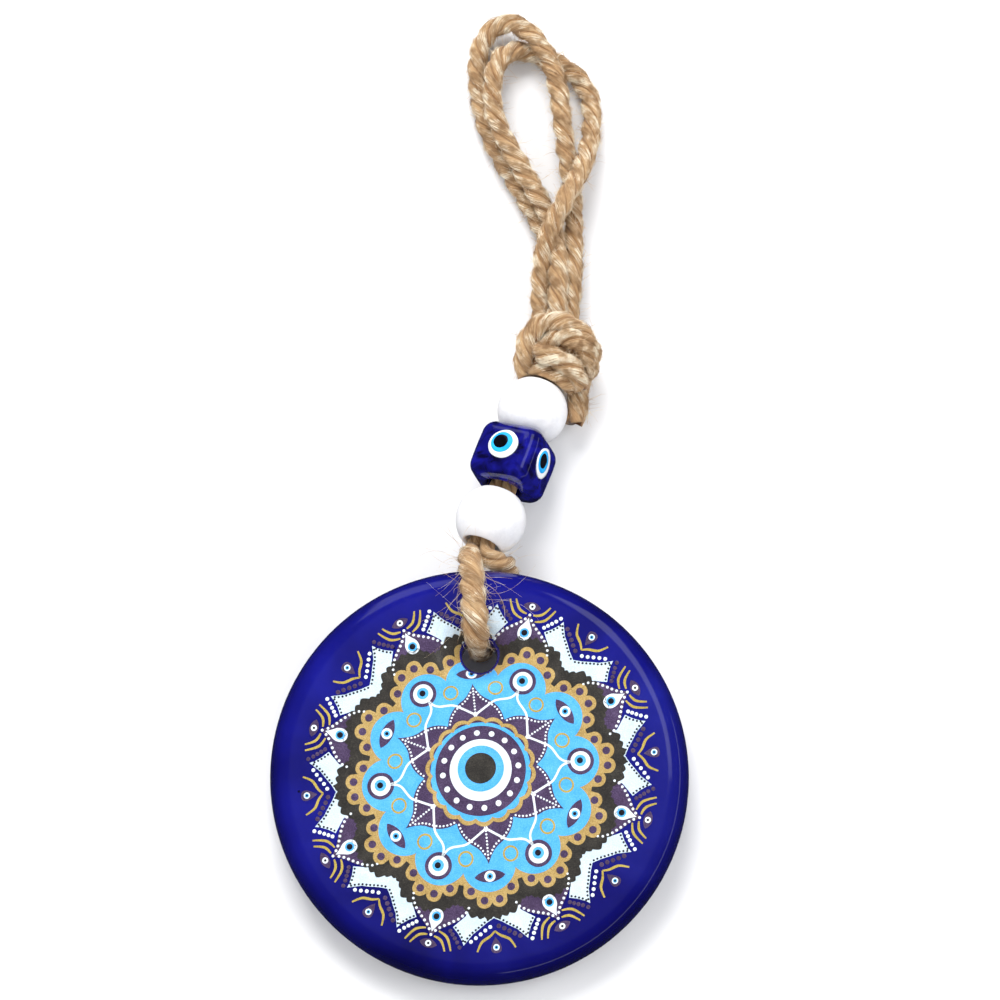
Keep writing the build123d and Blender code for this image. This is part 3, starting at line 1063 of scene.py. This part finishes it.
SMALL_DROP = ((0, 28.1), (1.5, 29.2), (1.9, 30.6), (0, 31.0), (-1.9, 30.6), (-1.5, 29.2))
LARGE_DROP = ((0, 28.0), (1.0, 26.9), (2.5, 26.1), (2.8, 24.9), (1.5, 24.0), (-1.5, 24.0), (-2.8, 24.9),
              (-2.5, 26.1), (-1.0, 26.9))
EYE_TO_POINT = ((0.0, 15.6), (0.6, 14.5), (3.4, 13.6), (8.5, 13.1), (14.0, 12.6), (18.5, 11.6), (22.5, 10.9),
                (26.5, 10.3), (29.8, 9.9), (29.9, 9.0))


class InkLayer:
    """Closed thin films of one ink in one mesh, as places on the face and heights above it.

    The films lie in coats, numbered from the glass up.
    """

    def __init__(self, ink):
        self.ink = ink
        self.places = []
        self.faces = []

    def grid(self, rows, closed, coat):
        """A film over a grid of places on the face; closed means that each row runs right round."""
        base = len(self.places)
        count, wide = len(rows), len(rows[0])
        for lift in (INK_STEP * coat, INK_UNDER):
            for row in rows:
                self.places += [(x, y, lift) for x, y in row]
        under = count * wide
        spans = wide if closed else wide - 1
        for i in range(count - 1):
            for k in range(spans):
                a, b = base + i * wide + k, base + i * wide + (k + 1) % wide
                c, d = b + wide, a + wide
                self.faces.append((a, b, c, d))
                self.faces.append((a + under, d + under, c + under, b + under))
        for i, flip in ((0, False), (count - 1, True)):
            for k in range(spans):
                a, b = base + i * wide + k, base + i * wide + (k + 1) % wide
                side = (a + under, b + under, b, a)
                self.faces.append(side[::-1] if flip else side)
        if not closed:
            for k, flip in ((0, True), (wide - 1, False)):
                for i in range(count - 1):
                    a, b = base + i * wide + k, base + (i + 1) * wide + k
                    side = (a + under, b + under, b, a)
                    self.faces.append(side[::-1] if flip else side)

    def band(self, inner, outer, coat, steps=360, rows=1):
        """A ring between two radii, each a function of the angle in degrees."""
        lines = []
        for j in range(rows + 1):
            line = []
            for k in range(steps):
                angle = 360 * k / steps
                low, high = inner(angle), outer(angle)
                line.append(polar(high + (low - high) * j / rows, angle))
            lines.append(line)
        self.grid(lines, True, coat)

    def patch(self, outline, coat, rings=1, middle=None):
        """A film inside an outline that its middle can see."""
        base = len(self.places)
        count = len(outline)
        cx, cy = middle or (sum(x for x, y in outline) / count, sum(y for x, y in outline) / count)
        for lift in (INK_STEP * coat, INK_UNDER):
            for j in range(rings):
                share = 1 - j / rings
                self.places += [(cx + (x - cx) * share, cy + (y - cy) * share, lift) for x, y in outline]
            self.places.append((cx, cy, lift))
        under = rings * count + 1
        for top, flip in ((base, False), (base + under, True)):
            for j in range(rings):
                for k in range(count):
                    a, b = top + j * count + k, top + j * count + (k + 1) % count
                    if j < rings - 1:
                        face = (a, b, b + count, a + count)
                    else:
                        face = (a, b, top + rings * count)
                    self.faces.append(face[::-1] if flip else face)
        for k in range(count):
            a, b = base + k, base + (k + 1) % count
            self.faces.append((a + under, b + under, b, a))

    def dot(self, x, y, r, coat, height=DROP_HEIGHT):
        """A small round drop of ink."""
        base = len(self.places)
        film = INK_STEP * coat
        around = 12 if r < 0.3 else 18
        for share, lift in ((1.0, INK_UNDER), (1.0, film), (0.78, film + 0.75 * height)):
            for k in range(around):
                turn = TAU * k / around
                self.places.append((x + r * share * math.cos(turn), y + r * share * math.sin(turn), lift))
        self.places.append((x, y, film + height))
        top = len(self.places) - 1
        self.faces += ring_faces(3, around, base)
        for k in range(around):
            self.faces.append((base + 2 * around + k, base + 2 * around + (k + 1) % around, top))
        self.faces.append(tuple(base + k for k in range(around))[::-1])

    def disc(self, x, y, r, coat, around=32):
        self.patch([(x + r * math.cos(TAU * k / around), y + r * math.sin(TAU * k / around))
                    for k in range(around)], coat, 1)

    def stroke(self, line, width, coat, taper=False):
        """A film along a line of places on the face."""
        left, right = [], []
        count = len(line)
        for i, (x, y) in enumerate(line):
            x0, y0 = line[max(i - 1, 0)]
            x1, y1 = line[min(i + 1, count - 1)]
            run = math.hypot(x1 - x0, y1 - y0) or 1.0
            half = width / 2
            if taper:
                half *= 0.45 + 0.55 * math.sin(math.pi * (0.1 + 0.8 * i / (count - 1)))
            nx, ny = -(y1 - y0) / run * half, (x1 - x0) / run * half
            left.append((x + nx, y + ny))
            right.append((x - nx, y - ny))
        self.grid([right, left], False, coat)

    def follow_dimple(self):
        """Split the long edges near the hole, so that the film bends down with the glass."""
        triangles = [(f[0], f[k], f[k + 1]) for f in self.faces for k in range(1, len(f) - 1)]
        for _ in range(7):
            middles = {}

            def middle(a, b):
                key = (min(a, b), max(a, b))
                if key not in middles:
                    (ax, ay, az), (bx, by, bz) = self.places[a], self.places[b]
                    mx, my = (ax + bx) / 2, (ay + by) / 2
                    long = math.hypot(ax - bx, ay - by)
                    near = math.hypot(*warp_shift(mx, my)) - long / 2 < DIMPLE_R
                    if long > (LONGEST_NEAR if near else LONGEST_FACE):
                        self.places.append((mx, my, (az + bz) / 2))
                        middles[key] = len(self.places) - 1
                    else:
                        middles[key] = None
                return middles[key]

            split = []
            for a, b, c in triangles:
                ab, bc, ca = middle(a, b), middle(b, c), middle(c, a)
                cut = sum(m is not None for m in (ab, bc, ca))
                if cut == 0:
                    split.append((a, b, c))
                elif cut == 3:
                    split += [(a, ab, ca), (ab, b, bc), (ca, bc, c), (ab, bc, ca)]
                else:
                    while ab is None or (cut == 2 and ca is not None and bc is None):
                        a, b, c, ab, bc, ca = b, c, a, bc, ca, ab
                    if cut == 1:
                        split += [(a, ab, c), (ab, b, c)]
                    else:
                        split += [(a, ab, c), (ab, b, bc), (ab, bc, c)]
            done = len(split) == len(triangles)
            triangles = split
            if done:
                break
        self.faces = triangles

    def build(self, name):
        self.follow_dimple()
        points = [on_disc(*warp(x, y), lift) for x, y, lift in self.places]
        centre = Vector((0, HOLE_UP))
        flat = [Vector(warp(x, y)) for x, y, lift in self.places]
        keep = [f for f in self.faces if all((flat[i] - centre).length > HOLE_CLEAR for i in f)]
        used = sorted({i for f in keep for i in f})
        renumber = {old: new for new, old in enumerate(used)}
        faces = [tuple(renumber[i] for i in f) for f in keep]
        return add_mesh(name, [points[i] for i in used], faces, INK[self.ink], smooth=False)


def warp(x, y):
    """The transfer went on a little askew: narrower across, leaning, and high in the middle."""
    slip = 0.55 - 0.05 * min(math.hypot(x, y), 17.0)
    return 0.975 * x + 0.022 * y + 0.2, 0.012 * x + 0.99 * y + slip


def warp_shift(x, y):
    """From the hole's centre to where this place of the pattern ends up."""
    wx, wy = warp(x, y)
    return wx, wy - HOLE_UP


def polar(r, angle):
    return (r * math.cos(math.radians(angle)), r * math.sin(math.radians(angle)))


def smooth_line(points, steps=8):
    """A line with rounded corners through control points, as a quadratic spline."""
    middle = [((a[0] + b[0]) / 2, (a[1] + b[1]) / 2) for a, b in zip(points, points[1:])]
    out = [points[0]]
    for i in range(1, len(points) - 1):
        start, corner, end = middle[i - 1], points[i], middle[i]
        if i == 1:
            start = points[0]
        if i == len(points) - 2:
            end = points[-1]
        for k in range(1, steps + 1):
            t = k / steps
            out.append(tuple((1 - t) ** 2 * s + 2 * t * (1 - t) * c + t * t * e
                             for s, c, e in zip(start, corner, end)))
    return out


def smooth_ring(points, steps=5):
    """A closed outline with its corners rounded, except that the first point stays sharp."""
    return smooth_line(points + [points[0]], steps)[:-1]


def almond_outline(r, angle, half_long, half_wide):
    """A pointed oval at this place, lying across the direction from the middle."""
    cx, cy = polar(r, angle)
    turn = math.radians(angle + 90)
    out = []
    for side in (1, -1):
        for k in range(14):
            along = side * half_long * (1 - 2 * k / 14)
            wide = side * half_wide * (1 - (along / half_long) ** 2) ** 0.85
            out.append((cx + along * math.cos(turn) - wide * math.sin(turn),
                        cy + along * math.sin(turn) + wide * math.cos(turn)))
    return out[::-1]


def off_from(angle, count, first):
    """How far this angle is from the nearest of these evenly spaced directions, in degrees."""
    step = 360 / count
    return (angle - first + step / 2) % step - step / 2


def curve_at(table, off):
    """The radius at this offset, read along a listed curve of (offset, radius) pairs."""
    for (x0, r0), (x1, r1) in zip(table, table[1:]):
        if off <= x1:
            return r0 + (r1 - r0) * (off - x0) / (x1 - x0)
    return table[-1][1]


def bump(angle, centre_angle, centre_r, size):
    """Where a ray at this angle leaves a circle, or nothing if it misses."""
    off = math.radians(angle - centre_angle)
    across = centre_r * math.sin(off)
    if abs(across) >= size or abs(off) > 1:
        return 0.0
    return centre_r * math.cos(off) + math.sqrt(size ** 2 - across ** 2)


def blue_edge(angle):
    off = off_from(angle, 12, PRINT_TURN)
    return 17.2 + 3.2 * max(0.0, 1 - (off / 15) ** 2) ** 0.8


def gold_edge(angle):
    off = off_from(angle, 12, PRINT_TURN)
    return max([19.3 + 1.6 * max(0.0, 1 - (off / 14) ** 2)] + [bump(off, *spot) for spot in SPOTS])


def leaf_edge(angle):
    off = off_from(angle, 12, PRINT_TURN)
    base = 21.0 + 2.3 * max(0.0, 1 - (off / 15) ** 2) ** 0.7
    tips = []
    for middle, r, size in LEAVES:
        half = math.degrees(size / r) * 1.15
        lean = (off - middle) / half
        if abs(lean) < 1:
            peak = 0.35 if middle > 0 else -0.35
            run = (lean - peak) / (1 - peak) if lean > peak else (peak - lean) / (1 + peak)
            tips.append(r - 0.25 + (size + 0.15) * (1 - run ** 1.7))
    return max([base] + tips)


def star_edge(angle):
    return curve_at(STAR, abs(off_from(angle, 6, PRINT_TURN + 30)))


def along_curve(table, start, end, apart, inset):
    """Offsets and radii this far apart along a listed curve, moved in from it."""
    spots, travelled, last = [], apart / 2, None
    steps = 400
    for k in range(steps + 1):
        off = start + (end - start) * k / steps
        r = curve_at(table, off) - inset
        here = Vector(polar(r, off))
        if last is not None:
            travelled += (here - last).length
            if travelled >= apart:
                spots.append((off, r))
                travelled -= apart
        last = here
    return spots


def places_of(table, centre, side=1):
    """The places of a listed curve round this angle, or of its mirror image."""
    return [polar(r, centre + side * off) for off, r in table]


def dot_row(layer, spots, centre, side, size, coat, height=DROP_HEIGHT):
    for place in places_of(spots, centre, side):
        layer.dot(*place, size, coat, height)


def print_patches(ink):
    """White patches with a dotted border, rows of dots, gold brackets and small drops."""
    border = along_curve(PATCH, 0.4, 10.7, 0.66, 0.36) + along_curve(PATCH, 10.9, 15.0, 0.66, 0.42)
    outer_row = along_curve(PATCH, 0.6, 9.6, 1.02, -1.05)
    slanted_row = [(12.1 + 4.0 * share, 29.8 - 2.6 * share ** 0.85) for share in (0.0, 0.25, 0.5, 0.75, 1.0)]
    for k in range(8):
        centre = PRINT_TURN + 45 * k
        half = places_of(PATCH + PATCH_FOOT, centre)
        other = places_of(PATCH[1:] + PATCH_FOOT, centre, -1)
        ink["white"].patch(half + [polar(19.6, centre)] + other[::-1], 1, 3, polar(23.4, centre))
        for side in (-1, 1):
            dot_row(ink["dot"], border, centre, side, 0.2, 1, LOW_DROP)
            colour, size = ("cream", 0.33) if side < 0 else ("plum", 0.4)
            dot_row(ink[colour], outer_row, centre, side, size, 1)
            colour, size = ("cream", 0.33) if side > 0 else ("plum", 0.36)
            dot_row(ink[colour], slanted_row, centre, side, size, 1)
            ink["line"].stroke(smooth_line(places_of(BRACKET, centre, side)), 0.46, 1, taper=True)
        ink["plum"].patch(smooth_ring(places_of(SMALL_DROP, centre)), 1)
        x, y = polar(29.9, centre)
        ink["cream"].disc(x, y, 0.55, 2, 20)
        ink["blue"].disc(x, y, 0.34, 3, 16)
        ink["dot"].dot(x, y, 0.2, 3)


def print_petals(ink):
    """Plum petals between the patches, each with a white edge and drop, gold arcs and an almond eye."""
    edge = along_curve(PETAL, 0.6, 12.6, 0.86, 0.36)
    for k in range(8):
        centre = PRINT_TURN + 22.5 + 45 * k
        outline = places_of(PETAL[::-1], centre) + places_of(PETAL[1:], centre, -1)
        ink["plum"].patch([polar(20.0, centre)] + outline[::-1], 2, 2, polar(24.0, centre))
        for side in (-1, 1):
            dot_row(ink["cream"], edge, centre, side, 0.25, 2)
        ink["cream"].dot(*polar(28.5, centre), 0.25, 2)
        ink["cream"].patch(smooth_ring(places_of(LARGE_DROP, centre)), 3, 1, polar(25.4, centre))
        ink["blue"].disc(*polar(25.3, centre), 0.8, 4, 24)
        ink["dot"].dot(*polar(25.3, centre), 0.52, 5)
        for side in (-1, 1):
            for arc in PETAL_ARCS:
                ink["line"].stroke(smooth_line(places_of(arc, centre, side)), 0.44, 1, taper=True)
        x, y = polar(30.0, centre)
        ink["plum"].patch(almond_outline(30.0, centre, 1.55, 0.78), 1, 1)
        ink["cream"].disc(x, y, 0.53, 2, 20)
        ink["dot"].dot(x, y, 0.22, 2)


def print_bands(ink):
    """Charcoal leaves, the gold scalloped band with its spots, the light blue field and small gold rings."""
    ink["dark"].band(lambda angle: 17.0, leaf_edge, 3, steps=1440, rows=2)
    ink["gold"].band(lambda angle: 15.5, gold_edge, 4, steps=1440, rows=2)
    for k in range(12):
        for off, r, size in SPOTS:
            ink["plum"].disc(*polar(r, PRINT_TURN + 30 * k + off), 0.66, 5, 24)
    ink["blue"].band(lambda angle: 6.0, blue_edge, 5, steps=720, rows=3)
    for k in range(12):
        cx, cy = polar(14.9, PRINT_TURN + 15 + 30 * k)
        turns = [TAU * j / 40 for j in range(41)]
        ring = [(cx + 1.17 * math.cos(turn), cy + 1.17 * math.sin(turn)) for turn in turns]
        ink["line"].stroke(ring, 0.34, 6)


def print_star(ink):
    """The plum star, its dotted edges and ribs, and the white curves from the round eyes to its points."""
    ink["plum"].band(lambda angle: 7.0, star_edge, 6, steps=1440, rows=2)
    edge = along_curve(STAR, 1.4, 29.4, 0.62, 0.5)
    rib = [(0, 14.75 - 0.56 * j) for j in range(9)]
    for k in range(6):
        eye = PRINT_TURN + 60 * k
        point = PRINT_TURN + 30 + 60 * k
        for side in (-1, 1):
            dot_row(ink["cream"], edge, point, side, 0.185, 6, LOW_DROP)
        dot_row(ink["cream"], rib, point, 1, 0.185, 6, LOW_DROP)
        for side in (-1, 1):
            ink["cream"].stroke(smooth_line(places_of(EYE_TO_POINT, eye, side)), 0.38, 7)


def print_eyes(ink):
    """Six round eyes and six almond eyes in the blue field."""
    for k in range(6):
        cx, cy = polar(17.2, PRINT_TURN + 60 * k)
        ink["plum"].disc(cx, cy, 2.3, 7, 48)
        ink["cream"].disc(cx, cy, 1.7, 8, 40)
        ink["blue"].disc(cx - 0.05, cy + 0.1, 1.0, 9, 32)
        ink["dot"].dot(cx - 0.1, cy + 0.12, 0.53, 9)
        turn = PRINT_TURN + 30 + 60 * k
        ink["plum"].patch(almond_outline(17.7, turn, 2.65, 1.05), 7, 1)
        cx, cy = polar(17.75, turn)
        ink["cream"].disc(cx, cy, 0.95, 8, 28)
        ink["blue"].disc(cx, cy, 0.56, 9, 22)
        ink["dot"].dot(cx, cy, 0.3, 9)


def print_middle(ink):
    """Gold scallops, blue, plum with white dots, white, blue and the pupil, most a little off centre."""
    def scallops(base, height):
        def edge(angle):
            return base + height * abs(math.cos(math.radians(off_from(angle, 18, 15.5) * 9))) ** 0.8
        return edge

    ink["blue"].disc(0, -0.2, 8.6, 7, 120)
    ink["gold"].band(scallops(8.15, 0.65), scallops(8.9, 0.62), 8, steps=1080, rows=1)
    ink["plum"].disc(0, 0.0, 7.75, 8, 120)
    for k in range(16):
        ink["cream"].dot(*polar(6.5, 7.0 + 22.5 * k), 0.5, 8)
    ink["cream"].disc(0, 0.02, 5.32, 9, 96)
    ink["blue"].disc(0.02, 0.2, 3.98, 10, 80)
    ink["dark"].disc(-0.03, 0.2, 2.66, 11, 64)


def build_print():
    """The mandala: colours laid one over another from the rim of the pattern to the pupil."""
    ink = {name: InkLayer(name) for name in INK}
    print_patches(ink)
    print_petals(ink)
    print_bands(ink)
    print_star(ink)
    print_eyes(ink)
    print_middle(ink)
    return ink


print_pieces = {}
for ink_name, layer in build_print().items():
    print_pieces[ink_name] = layer.build("print_ink_" + ink_name)

# ---------------------------------------------------------------- fibres on the cord
WHOLE = (0.0, 1.0)

# each rope with its bundle, how many fibres lie along it and where, and its groups of flying fibres:
# how many, how long, where along the rope and how curly
fibre_plan = [(rope_strung, "strung", 900, (0.27, 0.76),
               [(46, (4.5, 12.0), (0.28, 0.42), 0.5), (50, (1.5, 4.0), (0.28, 0.5), 0.9),
                (26, (2.0, 5.0), (0.66, 0.74), 0.9)])]
fibre_plan += [(rope, name, 2200, WHOLE, [(520, (0.8, 3.6), WHOLE, 0.6)])
               for name, rope in (("outer", rope_outer), ("inner", rope_inner))]
fibre_plan += [(rope, "knot", 650, WHOLE, [(110, (1.0, 3.6), WHOLE, 0.8)]) for rope in knot_ropes]
fibre_plan += [(tail_rope, "knot", 220, WHOLE, [(70, (1.0, 4.0), (0.3, 1.0), 0.35)])]

rng = random.Random(71)
hairs = {name: FibreBundle() for name in ("strung", "outer", "inner", "knot")}
for rope, name, lying, lying_span, flying in fibre_plan:
    for _ in range(lying):
        hug_fibre(rope, rng, hairs[name], lying_span)
    for count, reach, span, curl in flying:
        for _ in range(count):
            fly_fibre(rope, rng, hairs[name], reach, span, curl)
hair_objects = {name: bundle.build("fibres_" + name) for name, bundle in hairs.items()}

for rope, obj, nodes, on_it in (
        (rope_strung, cord_strung, ("cord_disc_loop", "cord_bead_core"), [hair_objects["strung"]]),
        (rope_outer, cord_outer, ("cord_outer_loop",), [hair_objects["outer"]]),
        (rope_inner, cord_inner, ("cord_inner_loop",),
         [hair_objects["inner"], knot, tail, hair_objects["knot"]])):
    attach(obj, "cord")
    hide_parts(*nodes)
for obj in (knot, tail, *hair_objects.values()):
    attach(obj, "cord")
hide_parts("cord_knot")
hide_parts("cord_tail")

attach(disc_body, "disc")
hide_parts("glass_disc")
for ink_name, piece in print_pieces.items():
    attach(piece, "disc")
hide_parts("print_field", "print_light_ring")
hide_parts("print_white_ring")
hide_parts("print_plum_ring")
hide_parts("print_pupil")

for node in ("bead_lower", "bead_upper"):
    bpy.data.objects[node].data.materials.clear()
    bpy.data.objects[node].data.materials.append(WHITE_BEAD)
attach(cube_body, "square_bead")
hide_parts("cube_bead")
for colour, slot in (("white", "dot_white"), ("blue", "dot_blue"), ("pupil", "dot_dark")):
    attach(cube_dots[colour], "square_bead")
    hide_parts(*(f"cube_eye_{side}_{colour}" for side in range(1, 5)))
